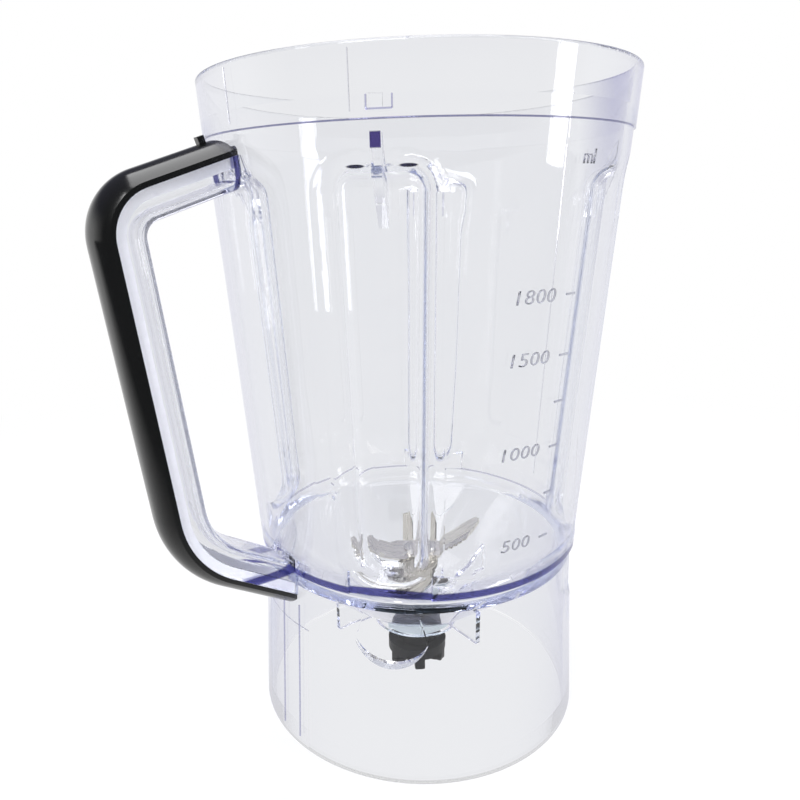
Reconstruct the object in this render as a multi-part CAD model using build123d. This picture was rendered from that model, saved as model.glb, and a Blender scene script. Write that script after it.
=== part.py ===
"""Blender jar: clear moulded vessel with handle and base skirt, black grip cover and a spinning blade unit.

The origin is on the jar's axis in the plane of the skirt's foot. +Z is up, the handle points along -X
and the measuring scale faces -Y. All sizes are in millimetres.
"""
import os
from math import atan, cos, hypot, radians, sin, sqrt

from build123d import *

# Vessel and skirt, outside
jar_height = 260.0
collar_height = 20.4
collar_flare = 1.9
shoulder_radius = 80.0
shoulder_step = 0.7
ring_height = 78.5
ring_radius = 68.8
ring_step = 2.1
skirt_flare = 4.0

# Vessel and skirt, inside
wall = 3.0
skirt_wall = 2.8
lid_seat_depth = 0.9
lid_seat_height = 6.5
rim_wall = 2.8
rim_round = 1.0
bowl_rise = 7.0
bowl_drop = 4.0
bowl_wall = 3.2
bowl_round = 10.0
bowl_blend = 20.0
floor_drop = 32.5
floor_flat_radius = 15.0
dish_radius = 30.0
dish_rise = 5.0
dish_blend = 40.0
floor_thickness = 3.0
socket_depth = 9.0

# Four inward flutes, hollow from outside
flute_count = 4
flute_depth = 10.0
flute_head_drop = 12.6
flute_foot_gap = 4.5
flute_head_width = 32.0
flute_foot_width = 27.0
flute_head_round = 8.0
flute_foot_round = 11.0
flute_draft = 27.0
flute_floor_round = 5.0
flute_mouth_round = 8.0
recess_width = 30.0
recess_drop = 28.5
recess_depth = 2.5
fin_thickness = 3.2
fin_drop = 19.0
fin_rise = 9.0
fin_setback = 0.6

# Lid lug on the collar, over the front left flute
lug_width = 5.2
lug_height = 3.8
lug_lift = 2.7
lug_proud = 0.9

# Boss and gussets under the floor, key slot in the skirt
boss_radius = 19.5
boss_wall = 2.6
boss_depth = 8.0
gusset_count = 4
gusset_thickness = 2.2
gusset_drop = 2.0
gusset_reach = 42.0
key_slot_angle = 27.0
key_slot_depth = 1.0
key_slot_height = 54.0

# Handle: clear channel moulded with the jar, closed by a snap-on grip cover
handle_width = 22.0
channel_depth = 10.5
channel_wall = 2.6
channel_round = 5.0
upper_root_drop = 7.6
upper_arm_reach = 41.5
upper_arm_drop = 13.6
upper_bend = 16.0
lower_arm_reach = 38.6
lower_arm_rise = 23.8
lower_bend = 36.0
lower_root_drop = 9.6
cover_crown = 6.3
cover_edge = 1.8
cover_wall = 2.0
cover_rail_depth = 3.5
cover_rail_wall = 1.6
cover_end_gap = 0.4
cover_end_round = 3.5
cover_tab_width = 3.0
cover_tab_height = 2.2
cover_tab_length = 2.4
cover_tab_setback = 5.5

# Bearing housing clamped through the floor
barrel_radius = 9.0
barrel_top_radius = 8.0
barrel_height = 13.0
flange_radius = 13.5
flange_thickness = 2.2
neck_radius = 8.0
neck_proud = 0.6
gasket_thickness = 1.5
gasket_lip = 0.6
washer_radius = 14.5
washer_thickness = 1.5
nut_across_flats = 26.0
nut_height = 9.0
bush_radius = 6.0
bush_length = 10.0
seal_radius = 6.5
seal_height = 4.0
seal_lip_height = 1.2
seal_lip_wall = 0.6
housing_relief = 0.75

# Drive shaft and blades
shaft_radius = 4.0
spigot_radius = 3.0
spigot_flat = 2.3
thrust_washer_radius = 6.5
thrust_washer_thickness = 0.8
spacer_radius = 8.0
spacer_height = 1.8
blade_thickness = 1.5
blade_hub_length = 20.0
blade_hub_width = 14.0
blade_reach = 28.0
blade_root_width = 12.0
blade_tip_width = 4.5
upper_right_angle = 37.0
upper_left_angle = 17.0
lower_far_angle = 20.0
lower_near_angle = -36.0
upper_blade_angle = -36.0
lower_blade_angle = 54.0
bevel_width = 2.2
cutting_land = 0.4
tooth_count = 7
tooth_depth = 0.9
tooth_lean = 0.42
top_washer_radius = 5.5
top_washer_thickness = 0.8
rivet_radius = 4.2
rivet_edge_radius = 3.4
rivet_edge_height = 0.9
rivet_height = 1.3
clip_radius = 6.2
clip_thickness = 1.0
clip_groove_depth = 0.9
clip_mouth_width = 5.0

# Drive coupling on the shaft's lower end
coupling_radius = 13.0
coupling_plate = 5.0
coupling_hub_radius = 8.5
coupling_hub_height = 6.0
coupling_lug_count = 6
coupling_lug_width = 4.6
coupling_lug_height = 4.6
coupling_lug_round = 0.9
coupling_socket_radius = 5.0
insert_radius = 5.5
insert_length = 8.0

# Clearances
running_clearance = 0.04
axial_play = 0.2
coupling_gap = 0.5
fit_clearance = 0.06
rail_clearance = 0.15

# Places that follow from the sizes above
shoulder_height = jar_height - collar_height
mouth_radius = shoulder_radius + collar_flare
skirt_top_radius = ring_radius - ring_step
skirt_foot_radius = skirt_top_radius + skirt_flare
bowl_height = ring_height - bowl_drop
bowl_radius = skirt_top_radius - bowl_wall
floor_height = bowl_height - floor_drop
dish_height = floor_height + dish_rise
flute_head_height = shoulder_height - flute_head_drop
upper_root_height = shoulder_height - upper_root_drop
upper_corner_height = upper_root_height - upper_arm_drop
upper_corner_reach = shoulder_radius + upper_arm_reach
lower_root_height = ring_height - lower_root_drop
lower_corner_height = lower_root_height + lower_arm_rise
lower_corner_reach = ring_radius + lower_arm_reach
flute_angles = [45.0 + 360.0 / flute_count * turn for turn in range(flute_count)]
lug_angle = flute_angles[2]
handle_angle = 180.0
floor_underside = floor_height - floor_thickness
boss_foot = floor_underside - boss_depth
washer_foot = floor_underside - washer_thickness
neck_foot = washer_foot - nut_height - neck_proud
clip_top = neck_foot - thrust_washer_thickness - 2 * axial_play
clip_foot = clip_top - clip_thickness
coupling_top = clip_foot - coupling_gap
insert_foot = coupling_top - insert_length
coupling_hub_foot = coupling_top - coupling_hub_height
coupling_plate_foot = coupling_hub_foot - coupling_plate
coupling_foot = coupling_plate_foot - coupling_lug_height
gasket_top = floor_height + gasket_thickness
flange_top = gasket_top + flange_thickness
barrel_top = flange_top + barrel_height
spacer_foot = barrel_top + 2 * axial_play + thrust_washer_thickness
blade_seat = spacer_foot + spacer_height
blade_stack_top = blade_seat + 2 * blade_thickness + top_washer_thickness


def cone_radius(height):
    """Outer radius of the vessel between the ring and the shoulder."""
    share = (height - ring_height) / (shoulder_height - ring_height)
    return ring_radius + share * (shoulder_radius - ring_radius)


def skirt_radius(height):
    """Outer radius of the base skirt."""
    share = height / ring_height
    return skirt_foot_radius + share * (skirt_top_radius - skirt_foot_radius)


def turned(outline):
    """Solid of revolution about the jar's axis, from a closed outline of (radius, height) points."""
    face = Plane.XZ * make_face(Polyline(*outline, close=True))
    return revolve(face, axis=Axis.Z)


def ring_of(inner, outer, foot, top):
    """Plain ring about the axis."""
    return turned([(inner, foot), (outer, foot), (outer, top), (inner, top)])


def upright_web(outline, thickness, angle):
    """Flat web in a vertical plane through the axis, from (radius, height) points, at one angle."""
    face = Plane.XZ * make_face(Polyline(*outline, close=True))
    return Rot(0, 0, angle) * extrude(face, amount=thickness / 2, both=True)


def jar_outside(grow=0.0):
    """Solid bounded by the jar's outer surface, without the handle, grown sideways by a clearance."""
    return turned([
        (0, 0),
        (skirt_foot_radius + grow, 0),
        (skirt_top_radius + grow, ring_height),
        (ring_radius + grow, ring_height),
        (shoulder_radius + grow, shoulder_height),
        (shoulder_radius + shoulder_step + grow, shoulder_height),
        (mouth_radius + grow, jar_height),
        (0, jar_height),
    ])


def vessel_cavity():
    """Space inside the vessel: dished floor, rounded bowl, conical wall and the lid's seat."""
    bowl_top = ring_height + bowl_rise
    seat_radius = shoulder_radius - wall + lid_seat_depth
    seat_top = shoulder_height + lid_seat_height
    side = FilletPolyline(
        (floor_flat_radius, floor_height),
        (dish_radius, dish_height),
        (bowl_radius, bowl_height),
        (cone_radius(bowl_top) - wall, bowl_top),
        (shoulder_radius - wall, shoulder_height),
        radius=[dish_blend, bowl_round, bowl_blend],
    )
    rest = Polyline(
        side @ 1,
        (seat_radius, shoulder_height),
        (seat_radius, seat_top),
        (mouth_radius - rim_wall, jar_height),
        (mouth_radius - rim_wall, jar_height + wall),
        (0, jar_height + wall),
        (0, floor_height),
        side @ 0,
    )
    return revolve(Plane.XZ * make_face(side + rest), axis=Axis.Z)


def underside_lines():
    """Gentle inner and steep outer line of the floor's underside, each as (slope, height on the axis)."""
    gentle = (dish_height - floor_height) / (dish_radius - floor_flat_radius)
    steep = (bowl_height - dish_height) / (bowl_radius - dish_radius)
    lines = []
    for slope in (gentle, steep):
        floor_on_axis = dish_height - slope * dish_radius
        lines.append((slope, floor_on_axis - floor_thickness * sqrt(1 + slope**2)))
    return lines


def underside_height(radius):
    """Height of the floor's underside, which runs parallel to the dished floor."""
    return max(on_axis + slope * radius for slope, on_axis in underside_lines())


def socket_radius():
    """Radius of the straight land inside the skirt's foot."""
    return skirt_radius(socket_depth) - skirt_wall


def skirt_hollow():
    """Space under the floor that takes the motor base."""
    taper = (skirt_foot_radius - skirt_top_radius) / ring_height
    (gentle, gentle_on_axis), (steep, steep_on_axis) = underside_lines()
    inner_foot = skirt_foot_radius - skirt_wall
    corner_height = (steep_on_axis + steep * inner_foot) / (1 + steep * taper)
    corner_radius = inner_foot - taper * corner_height
    knee_radius = (gentle_on_axis - steep_on_axis) / (steep - gentle)
    flat_radius = (floor_underside - gentle_on_axis) / gentle
    hollow = turned([
        (0, -wall),
        (socket_radius(), -wall),
        (socket_radius(), socket_depth),
        (corner_radius, corner_height),
        (knee_radius, underside_height(knee_radius)),
        (flat_radius, floor_underside),
        (0, floor_underside),
    ])
    return hollow - recesses(skirt_wall)


def flute_plane():
    """Plane on the cone's surface at a flute's centre line: Y runs up the wall, Z points at the axis."""
    foot = ring_height + flute_foot_gap
    lean = atan((cone_radius(flute_head_height) - cone_radius(foot)) / (flute_head_height - foot))
    middle = (foot + flute_head_height) / 2
    return Plane(
        origin=(cone_radius(middle), 0, middle),
        x_dir=(0, -1, 0),
        z_dir=(-cos(lean), 0, sin(lean)),
    )


def flute(grow=0.0):
    """Drafted rounded pocket of one flute. Grown by the wall, it is the bulge seen inside the vessel."""
    foot = ring_height + flute_foot_gap
    length = hypot(flute_head_height - foot, cone_radius(flute_head_height) - cone_radius(foot))
    outline = make_face(Polyline(
        (-flute_foot_width / 2, -length / 2),
        (flute_foot_width / 2, -length / 2),
        (flute_head_width / 2, length / 2),
        (-flute_head_width / 2, length / 2),
        close=True,
    ))
    corners = outline.vertices().sort_by(Axis.Y)
    outline = fillet(corners[:2], flute_foot_round)
    corners = outline.vertices().sort_by(Axis.Y)
    outline = fillet(corners[-2:], flute_head_round)
    if grow:
        outline = offset(outline, amount=grow / cos(radians(flute_draft)))
    return extrude(flute_plane() * outline, amount=flute_depth + grow, taper=flute_draft)


def flute_cutters(grow=0.0):
    """All flutes, with the edges of their floors rounded so that the wall keeps its thickness there."""
    cutter = flute(grow)
    inward = flute_plane().z_dir
    floor = cutter.faces().sort_by(Axis((0, 0, 0), inward))[-1]
    cutter = fillet(floor.edges(), flute_floor_round + grow)
    return [Rot(0, 0, angle) * cutter for angle in flute_angles]


def fluted(solid, grow=0.0):
    """Cuts the flutes into a solid and rounds their mouths, tighter on the inner side of the wall."""
    cutters = flute_cutters(grow)
    cut = solid - cutters
    return fillet(new_edges(solid, *cutters, combined=cut), flute_mouth_round - grow)


def flute_fin():
    """Thin web through the head of one flute: it stiffens the pocket and stands on the shelf inside."""
    foot = flute_head_height - fin_drop
    top = flute_head_height + fin_rise
    pocket_edge = flute_head_height - wall
    return upright_web([
        (cone_radius(foot) - flute_depth - wall / 2, foot - wall / 2),
        (cone_radius(pocket_edge) - fin_setback, pocket_edge),
        (cone_radius(top) - wall / 2, top),
        (cone_radius(top) - wall - fin_setback, top),
        (cone_radius(pocket_edge) - flute_depth - wall / 2, pocket_edge - flute_depth / 2),
    ], fin_thickness, 0)


def recesses(setback=0.0):
    """Flat recesses below the flutes: they cross the ring and end on the skirt in a round foot."""
    half = recess_width / 2
    top = ring_height + 2 * flute_foot_gap
    middle = ring_height - recess_drop + half
    sides = Polyline((half, middle), (half, top), (-half, top), (-half, middle))
    foot = ThreePointArc((-half, middle), (0, middle - half), (half, middle))
    floor = Plane(origin=(ring_radius - recess_depth - setback, 0, 0), x_dir=(0, 1, 0), z_dir=(1, 0, 0))
    block = extrude(floor * make_face([sides, foot]), amount=wall + setback, taper=-flute_draft)
    return [Rot(0, 0, angle) * block for angle in flute_angles]


def handle_points():
    """Split line between channel and cover, from the upper root round the grip to the lower root."""
    return (
        (cone_radius(upper_root_height), upper_root_height),
        (upper_corner_reach, upper_corner_height),
        (lower_corner_reach, lower_corner_height),
        (skirt_radius(lower_root_height), lower_root_height),
    )


def handle_path():
    """The split line with rounded corners, lengthened at both ends so that it runs into the jar's wall."""
    points = [Vector(-reach, 0, height) for reach, height in handle_points()]
    overlap = channel_depth + wall
    start = points[0] + (points[0] - points[1]).normalized() * overlap
    end = points[3] + (points[3] - points[2]).normalized() * overlap
    return FilletPolyline(start, points[1], points[2], end, radius=[upper_bend, lower_bend])


def along_handle(section):
    """Sweep a section round the handle. In the section X is the width and Y points at the jar."""
    path = handle_path()
    seat = Plane(origin=path @ 0, x_dir=(0, 1, 0), z_dir=path % 0)
    return sweep(seat * section, path=path)


def channel_section(width, top, depth, rounding):
    """Rectangle from the split line to a depth, with its two inner corners rounded."""
    outline = make_face(Polyline(
        (-width / 2, -top), (width / 2, -top), (width / 2, depth), (-width / 2, depth), close=True,
    ))
    return fillet(outline.vertices().sort_by(Axis.Y)[-2:], rounding)


def handle_arm(outside):
    """Clear handle: a channel open on its outer side, blind where it meets the jar."""
    solid = along_handle(channel_section(handle_width, 0, channel_depth, channel_round))
    hollow = along_handle(channel_section(
        handle_width - 2 * channel_wall, wall, channel_depth - channel_wall,
        channel_round - channel_wall,
    ))
    return solid - (hollow - outside)


def jar_body():
    """The clear moulding: vessel, flutes, collar, base skirt, boss and handle channel in one."""
    outside = jar_outside()
    body = fluted(outside) - recesses() + handle_arm(outside)
    body -= fluted(vessel_cavity(), grow=wall)
    body -= skirt_hollow()
    body += ring_of(boss_radius - boss_wall, boss_radius, boss_foot, floor_height - wall / 2)
    for turn in range(gusset_count):
        body += gusset(360.0 / gusset_count * turn)
    for angle in flute_angles:
        body += Rot(0, 0, angle) * flute_fin()
    body += lid_lug()
    body -= key_slot()
    body -= Pos(0, 0, floor_underside) * Cylinder(neck_radius + fit_clearance, 4 * floor_thickness)
    rim = body.faces().sort_by(Axis.Z)[-1]
    return fillet(rim.edges(), rim_round)


def gusset(angle):
    """Web between the boss and the floor's underside, with a level foot and an upright end."""
    inner = boss_radius - boss_wall / 2
    foot = underside_height(boss_radius) - gusset_drop
    bury = floor_thickness / 2
    return upright_web([
        (inner, foot),
        (inner, underside_height(inner) + bury),
        (gusset_reach, underside_height(gusset_reach) + bury),
        (gusset_reach, foot),
    ], gusset_thickness, angle)


def lid_lug():
    """Small raised pad on the collar that the lid turns under."""
    foot = shoulder_height + lug_lift
    middle = foot + lug_height / 2
    share = (middle - shoulder_height) / (jar_height - shoulder_height)
    face_radius = shoulder_radius + share * (mouth_radius - shoulder_radius)
    pad = Box(2 * lug_proud, lug_width, lug_height)
    return Rot(0, 0, lug_angle) * (Pos(face_radius, 0, middle) * pad)


def key_slot():
    """Shallow slot inside the skirt, under the handle, that lines the jar up on its motor base."""
    sweep_start = handle_angle - key_slot_angle / 2
    face = Plane.XZ * make_face(Polyline(
        (socket_radius() - wall, -wall),
        (socket_radius() + key_slot_depth, -wall),
        (socket_radius() + key_slot_depth, socket_depth),
        (skirt_radius(key_slot_height) - skirt_wall + key_slot_depth, key_slot_height),
        (skirt_radius(key_slot_height) - skirt_wall - wall, key_slot_height),
        close=True,
    ))
    return Rot(0, 0, sweep_start) * revolve(face, axis=Axis.Z, revolution_arc=key_slot_angle)


def grip_cover():
    """Black cover over the handle's open side: a crowned shell with two rails inside the channel."""
    half = handle_width / 2
    rail_outer = half - channel_wall - rail_clearance
    rail_inner = rail_outer - cover_rail_wall
    crown = ThreePointArc((half, -cover_edge), (0, -cover_crown), (-half, -cover_edge))
    hollow_crown = cover_crown - cover_wall
    hollow = ThreePointArc((-rail_inner, -cover_edge), (0, -hollow_crown), (rail_inner, -cover_edge))
    left = Polyline(
        crown @ 1, (-half, -fit_clearance), (-rail_outer, -fit_clearance), (-rail_outer, cover_rail_depth),
        (-rail_inner, cover_rail_depth), hollow @ 0,
    )
    right = Polyline(
        hollow @ 1, (rail_inner, cover_rail_depth), (rail_outer, cover_rail_depth),
        (rail_outer, -fit_clearance), (half, -fit_clearance), crown @ 0,
    )
    cover = along_handle(make_face([crown, left, hollow, right]))
    return cover + cover_tab() - cover_end_cut() - jar_outside(grow=cover_end_gap)


def cover_end():
    """Plane at the cover's upper end: X runs along the arm away from the jar, Z stands on the cover."""
    root, corner = handle_points()[:2]
    along = Vector(root[0] - corner[0], 0, corner[1] - root[1]).normalized()
    end = Vector(-root[0] - cover_end_gap, 0, root[1])
    return Plane(origin=end, x_dir=along, z_dir=along.cross(Vector(0, 1, 0)) * -1)


def cover_tab():
    """Small snap tab that stands up from the cover's upper end."""
    height = cover_crown / 2 + cover_tab_height
    block = Box(cover_tab_length, cover_tab_width, height)
    return cover_end() * Pos(cover_tab_setback, 0, cover_crown / 2 + height / 2) * block


def cover_end_cut():
    """Cutter that rounds the corner of the cover's upper end."""
    side = 2 * cover_end_round
    corner = Pos(0, 0, cover_crown) * Box(side, 2 * handle_width, side)
    rod = Pos(cover_end_round, 0, cover_crown - cover_end_round) * Rot(90, 0, 0)
    return cover_end() * (corner - rod * Cylinder(cover_end_round, 2 * handle_width))


def bearing_housing():
    """Turned metal housing: flange on the floor, barrel above it, threaded neck through the floor."""
    seal_foot = barrel_top - seal_height
    upper_bush_foot = seal_foot - bush_length
    lower_bush_top = neck_foot + bush_length
    relief = shaft_radius + housing_relief
    seat = bush_radius + fit_clearance
    return turned([
        (seat, neck_foot),
        (neck_radius, neck_foot),
        (neck_radius, gasket_top),
        (flange_radius, gasket_top),
        (flange_radius, flange_top - flange_thickness / 2),
        (barrel_radius, flange_top),
        (barrel_top_radius, barrel_top),
        (seal_radius + fit_clearance, barrel_top),
        (seal_radius + fit_clearance, seal_foot),
        (seat, seal_foot),
        (seat, upper_bush_foot),
        (relief, upper_bush_foot),
        (relief, lower_bush_top),
        (seat, lower_bush_top),
    ])


def housing_gasket():
    """Soft ring between the flange and the floor, with a small lip round the flange's edge."""
    return ring_of(neck_radius + fit_clearance, flange_radius + gasket_lip, floor_height, gasket_top)


def clamp_washer():
    """Flat washer under the floor."""
    return ring_of(neck_radius + fit_clearance, washer_radius, washer_foot, floor_underside)


def clamp_nut():
    """Hexagon nut on the neck, with chamfered corners, that clamps the housing to the floor."""
    foot = washer_foot - nut_height
    corner = nut_across_flats / sqrt(3)
    flats = Pos(0, 0, foot) * extrude(RegularPolygon(corner, 6), amount=nut_height)
    chamfer_height = (corner - nut_across_flats / 2) / 2
    barrel = turned([
        (neck_radius + fit_clearance, foot),
        (nut_across_flats / 2, foot),
        (corner, foot + chamfer_height),
        (corner, washer_foot - chamfer_height),
        (nut_across_flats / 2, washer_foot),
        (neck_radius + fit_clearance, washer_foot),
    ])
    return flats & barrel


def bush(foot):
    """Sintered plain bearing for the shaft."""
    return ring_of(shaft_radius + running_clearance, bush_radius, foot, foot + bush_length)


def shaft_seal():
    """Lip seal at the top of the housing: full ring below, thin lip on the shaft above."""
    foot = barrel_top - seal_height
    lip_foot = barrel_top - seal_lip_height
    groove = (shaft_radius + seal_radius) / 2
    return turned([
        (shaft_radius + running_clearance, foot),
        (seal_radius, foot),
        (seal_radius, barrel_top),
        (groove, barrel_top),
        (groove, lip_foot),
        (shaft_radius + running_clearance + seal_lip_wall, lip_foot),
        (shaft_radius + running_clearance + seal_lip_wall, barrel_top),
        (shaft_radius + running_clearance, barrel_top),
    ])


def thrust_washer(foot):
    """Thin washer that turns with the shaft against a bush or the housing."""
    return ring_of(shaft_radius + fit_clearance, thrust_washer_radius, foot, foot + thrust_washer_thickness)


def drive_shaft():
    """Steel shaft: riveted head, flatted spigot for the blades, journal, clip groove and coupling end."""
    groove_radius = shaft_radius - clip_groove_depth
    blank = turned([
        (0, insert_foot),
        (spigot_radius, insert_foot),
        (spigot_radius, coupling_top),
        (shaft_radius, coupling_top),
        (shaft_radius, clip_foot - fit_clearance),
        (groove_radius, clip_foot - fit_clearance),
        (groove_radius, clip_top + fit_clearance),
        (shaft_radius, clip_top + fit_clearance),
        (shaft_radius, blade_seat),
        (spigot_radius, blade_seat),
        (spigot_radius, blade_stack_top),
        (rivet_radius, blade_stack_top),
        (rivet_edge_radius, blade_stack_top + rivet_edge_height),
        (0, blade_stack_top + rivet_height),
    ])
    return blank - spigot_flats(spigot_flat, blade_seat, blade_stack_top)


def spigot_flats(half_width, foot, top):
    """Two cutters that leave a spigot flat on both sides between two heights."""
    cutter = Box(2 * shaft_radius, shaft_radius, top - foot)
    aside = half_width + shaft_radius / 2
    middle = (foot + top) / 2
    pair = Pos(0, aside, middle) * cutter + Pos(0, -aside, middle) * cutter
    return Rot(0, 0, upper_blade_angle) * pair


def flatted_hole(foot, top):
    """Hole that fits over the flatted spigot."""
    hole = Pos(0, 0, (foot + top) / 2) * Cylinder(spigot_radius + fit_clearance, top - foot)
    return hole - spigot_flats(spigot_flat + fit_clearance, foot, top)


def blade_spacer():
    """Collar under the blades, on the shaft's journal."""
    return ring_of(shaft_radius + fit_clearance, spacer_radius, spacer_foot, blade_seat)


def bent_strip(foot, plus_lift, minus_lift):
    """Sheet metal strip bent at both ends of the hub, seen from the side and as wide as the hub."""
    bend = blade_hub_length / 2
    arm = 2 * blade_reach
    middle = []
    middle.append((-bend - arm * cos(radians(minus_lift)), arm * sin(radians(minus_lift))))
    middle.append((-bend, 0))
    middle.append((bend, 0))
    middle.append((bend + arm * cos(radians(plus_lift)), arm * sin(radians(plus_lift))))
    tilts = [-minus_lift, -minus_lift / 2, plus_lift / 2, plus_lift]
    lower = []
    upper = []
    for (along, height), tilt, turn in zip(middle, tilts, [0, minus_lift / 2, plus_lift / 2, 0]):
        half = blade_thickness / 2 / cos(radians(turn))
        lower.append((along + half * sin(radians(tilt)), height - half * cos(radians(tilt))))
        upper.append((along - half * sin(radians(tilt)), height + half * cos(radians(tilt))))
    side = Plane.XZ * make_face(Polyline(*lower, *reversed(upper), close=True))
    strip = extrude(side, amount=blade_hub_width, both=True)
    return Pos(0, 0, foot + blade_thickness / 2) * strip


def wing_outline(toothed):
    """Plan outline of one wing: pointed at the tip, with teeth along one edge if asked."""
    root = blade_hub_length / 2 - blade_thickness
    half = blade_root_width / 2
    tip_edge = half - blade_tip_width
    shoulder = blade_reach - blade_root_width / 2
    edge = [(root, -half), (shoulder, -half)]
    if toothed:
        pitch = (shoulder - root) / (tooth_count + 1)
        edge = [(root, -half)]
        for tooth in range(1, tooth_count + 1):
            edge.append((root + tooth * pitch, -half))
            edge.append((root + tooth * pitch + tooth_lean, -half + tooth_depth))
        edge.append((shoulder, -half))
    return edge + [(blade_reach, tip_edge), (blade_reach - blade_thickness, half), (root, half)]


def wing_grind(foot, lift):
    """Cutter that grinds the leading edge of one lifted wing to a slope, down to a thin land."""
    edge = -blade_root_width / 2
    half = blade_thickness / 2
    slope = (blade_thickness - cutting_land) / bevel_width
    side = Plane.YZ * make_face(Polyline(
        (edge - blade_thickness, cutting_land - half - slope * blade_thickness),
        (edge + bevel_width, half),
        (edge + bevel_width, half + blade_thickness),
        (edge - blade_thickness, half + blade_thickness),
        close=True,
    ))
    cutter = Pos(blade_thickness, 0, 0) * extrude(side, amount=2 * blade_reach)
    return Pos(blade_hub_length / 2, 0, foot + half) * Rot(0, -lift, 0) * cutter


def blade(foot, plus_lift, minus_lift, angle, toothed):
    """Two-winged blade: bent strip trimmed to the plan outline of hub and wings, with its hole."""
    hub = Rectangle(blade_hub_length, blade_hub_width)
    hub = fillet(hub.vertices(), blade_thickness)
    wing = make_face(Polyline(*wing_outline(toothed), close=True))
    plan = hub + wing + Rot(0, 0, 180) * wing
    tall = 2 * blade_reach
    trim = Pos(0, 0, foot - blade_reach) * extrude(plan, amount=tall)
    sheet = bent_strip(foot, plus_lift, minus_lift) & trim
    sheet -= wing_grind(foot, plus_lift)
    sheet -= Rot(0, 0, 180) * wing_grind(foot, minus_lift)
    return Rot(0, 0, angle) * sheet - flatted_hole(foot - blade_thickness, foot + 2 * blade_thickness)


def lower_blade():
    """Plain blade next to the spacer, with one wing bent up and one bent down."""
    return blade(blade_seat, lower_far_angle, lower_near_angle, lower_blade_angle, False)


def upper_blade():
    """Toothed blade on the lower one, with both wings bent up."""
    return blade(blade_seat + blade_thickness, upper_right_angle, upper_left_angle, upper_blade_angle, True)


def top_washer():
    """Washer between the blades and the riveted head."""
    foot = blade_seat + 2 * blade_thickness
    return ring_of(spigot_radius + fit_clearance, top_washer_radius, foot, blade_stack_top)


def retaining_clip():
    """Open clip in the shaft's groove, under the lower thrust washer."""
    groove_radius = shaft_radius - clip_groove_depth
    ring = ring_of(groove_radius + fit_clearance, clip_radius, clip_foot, clip_top)
    mouth = Box(2 * clip_radius, clip_mouth_width, clip_thickness * 2)
    return ring - Pos(clip_radius, 0, clip_foot) * mouth


def drive_coupling():
    """Black coupling: plate with lugs underneath, hub round the insert, socket for the motor's spigot."""
    seat = insert_radius + fit_clearance
    coupling = turned([
        (coupling_socket_radius, coupling_plate_foot),
        (coupling_radius, coupling_plate_foot),
        (coupling_radius, coupling_hub_foot - fit_clearance),
        (coupling_hub_radius, coupling_hub_foot),
        (coupling_hub_radius, coupling_top),
        (seat, coupling_top),
        (seat, insert_foot),
        (coupling_socket_radius, insert_foot),
    ])
    lug_inner = coupling_socket_radius + coupling_lug_width / 2
    lug_length = coupling_radius - lug_inner - fit_clearance
    lug = Box(lug_length, coupling_lug_width, coupling_lug_height + coupling_plate / 2)
    lug = fillet(lug.edges().filter_by(Axis.Z), coupling_lug_round)
    middle = coupling_foot + (coupling_lug_height + coupling_plate / 2) / 2
    for turn in range(coupling_lug_count):
        angle = 360.0 / coupling_lug_count * turn
        coupling += Rot(0, 0, angle) * (Pos(lug_inner + lug_length / 2, 0, middle) * lug)
    return coupling


def coupling_insert():
    """Metal insert in the coupling's hub, screwed on the shaft's end."""
    return ring_of(spigot_radius + fit_clearance, insert_radius, insert_foot, coupling_top)


nodes = {
    "jar_body": jar_body(),
    "grip_cover": grip_cover(),
    "bearing_housing": bearing_housing(),
    "housing_gasket": housing_gasket(),
    "clamp_washer": clamp_washer(),
    "clamp_nut": clamp_nut(),
    "upper_bush": bush(barrel_top - seal_height - bush_length),
    "lower_bush": bush(neck_foot),
    "shaft_seal": shaft_seal(),
    "drive_shaft": drive_shaft(),
    "upper_thrust_washer": thrust_washer(barrel_top + axial_play),
    "lower_thrust_washer": thrust_washer(clip_top + axial_play / 2),
    "retaining_clip": retaining_clip(),
    "blade_spacer": blade_spacer(),
    "lower_blade": lower_blade(),
    "upper_blade": upper_blade(),
    "top_washer": top_washer(),
    "drive_coupling": drive_coupling(),
    "coupling_insert": coupling_insert(),
}

os.makedirs("parts", exist_ok=True)
for name, shape in nodes.items():
    export_step(shape, f"parts/{name}.step")
    print(name, len(shape.solids()), round(shape.volume, 1))
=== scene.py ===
"""Looks of the blender jar: a finish for every solid, the moulded scale, floor, light and camera."""
import math

import bpy
from mathutils import Matrix, Vector


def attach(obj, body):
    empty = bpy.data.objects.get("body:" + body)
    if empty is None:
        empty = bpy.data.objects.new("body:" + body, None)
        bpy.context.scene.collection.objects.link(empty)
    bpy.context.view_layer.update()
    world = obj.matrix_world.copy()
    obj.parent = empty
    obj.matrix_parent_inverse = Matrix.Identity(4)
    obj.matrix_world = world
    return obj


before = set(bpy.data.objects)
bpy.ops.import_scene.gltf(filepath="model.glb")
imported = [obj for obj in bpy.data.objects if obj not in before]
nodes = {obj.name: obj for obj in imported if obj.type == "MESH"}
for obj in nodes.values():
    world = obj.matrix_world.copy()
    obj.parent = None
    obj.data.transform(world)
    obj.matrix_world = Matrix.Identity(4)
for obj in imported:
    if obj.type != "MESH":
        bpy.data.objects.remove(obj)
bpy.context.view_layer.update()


# Jar body: one thick-walled moulding of clear plastic with vessel, flutes, skirt and handle channel.
# The polished mould leaves it bright, and the faint violet dye shows only where light runs far inside.
# Painted shade at ring, rim, shoulder, fin tops, handle root, slanted edges and one side, and painted dark
# reflections beside the fins, stand for light that the wall guides and bends.
def new_finish(name):
    """Empty material with a Principled shader, as (material, nodes, link function, shader)."""
    material = bpy.data.materials.new(name)
    material.use_nodes = True
    tree = material.node_tree
    shader = tree.nodes["Principled BSDF"]
    return material, tree.nodes, tree.links.new, shader


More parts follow.
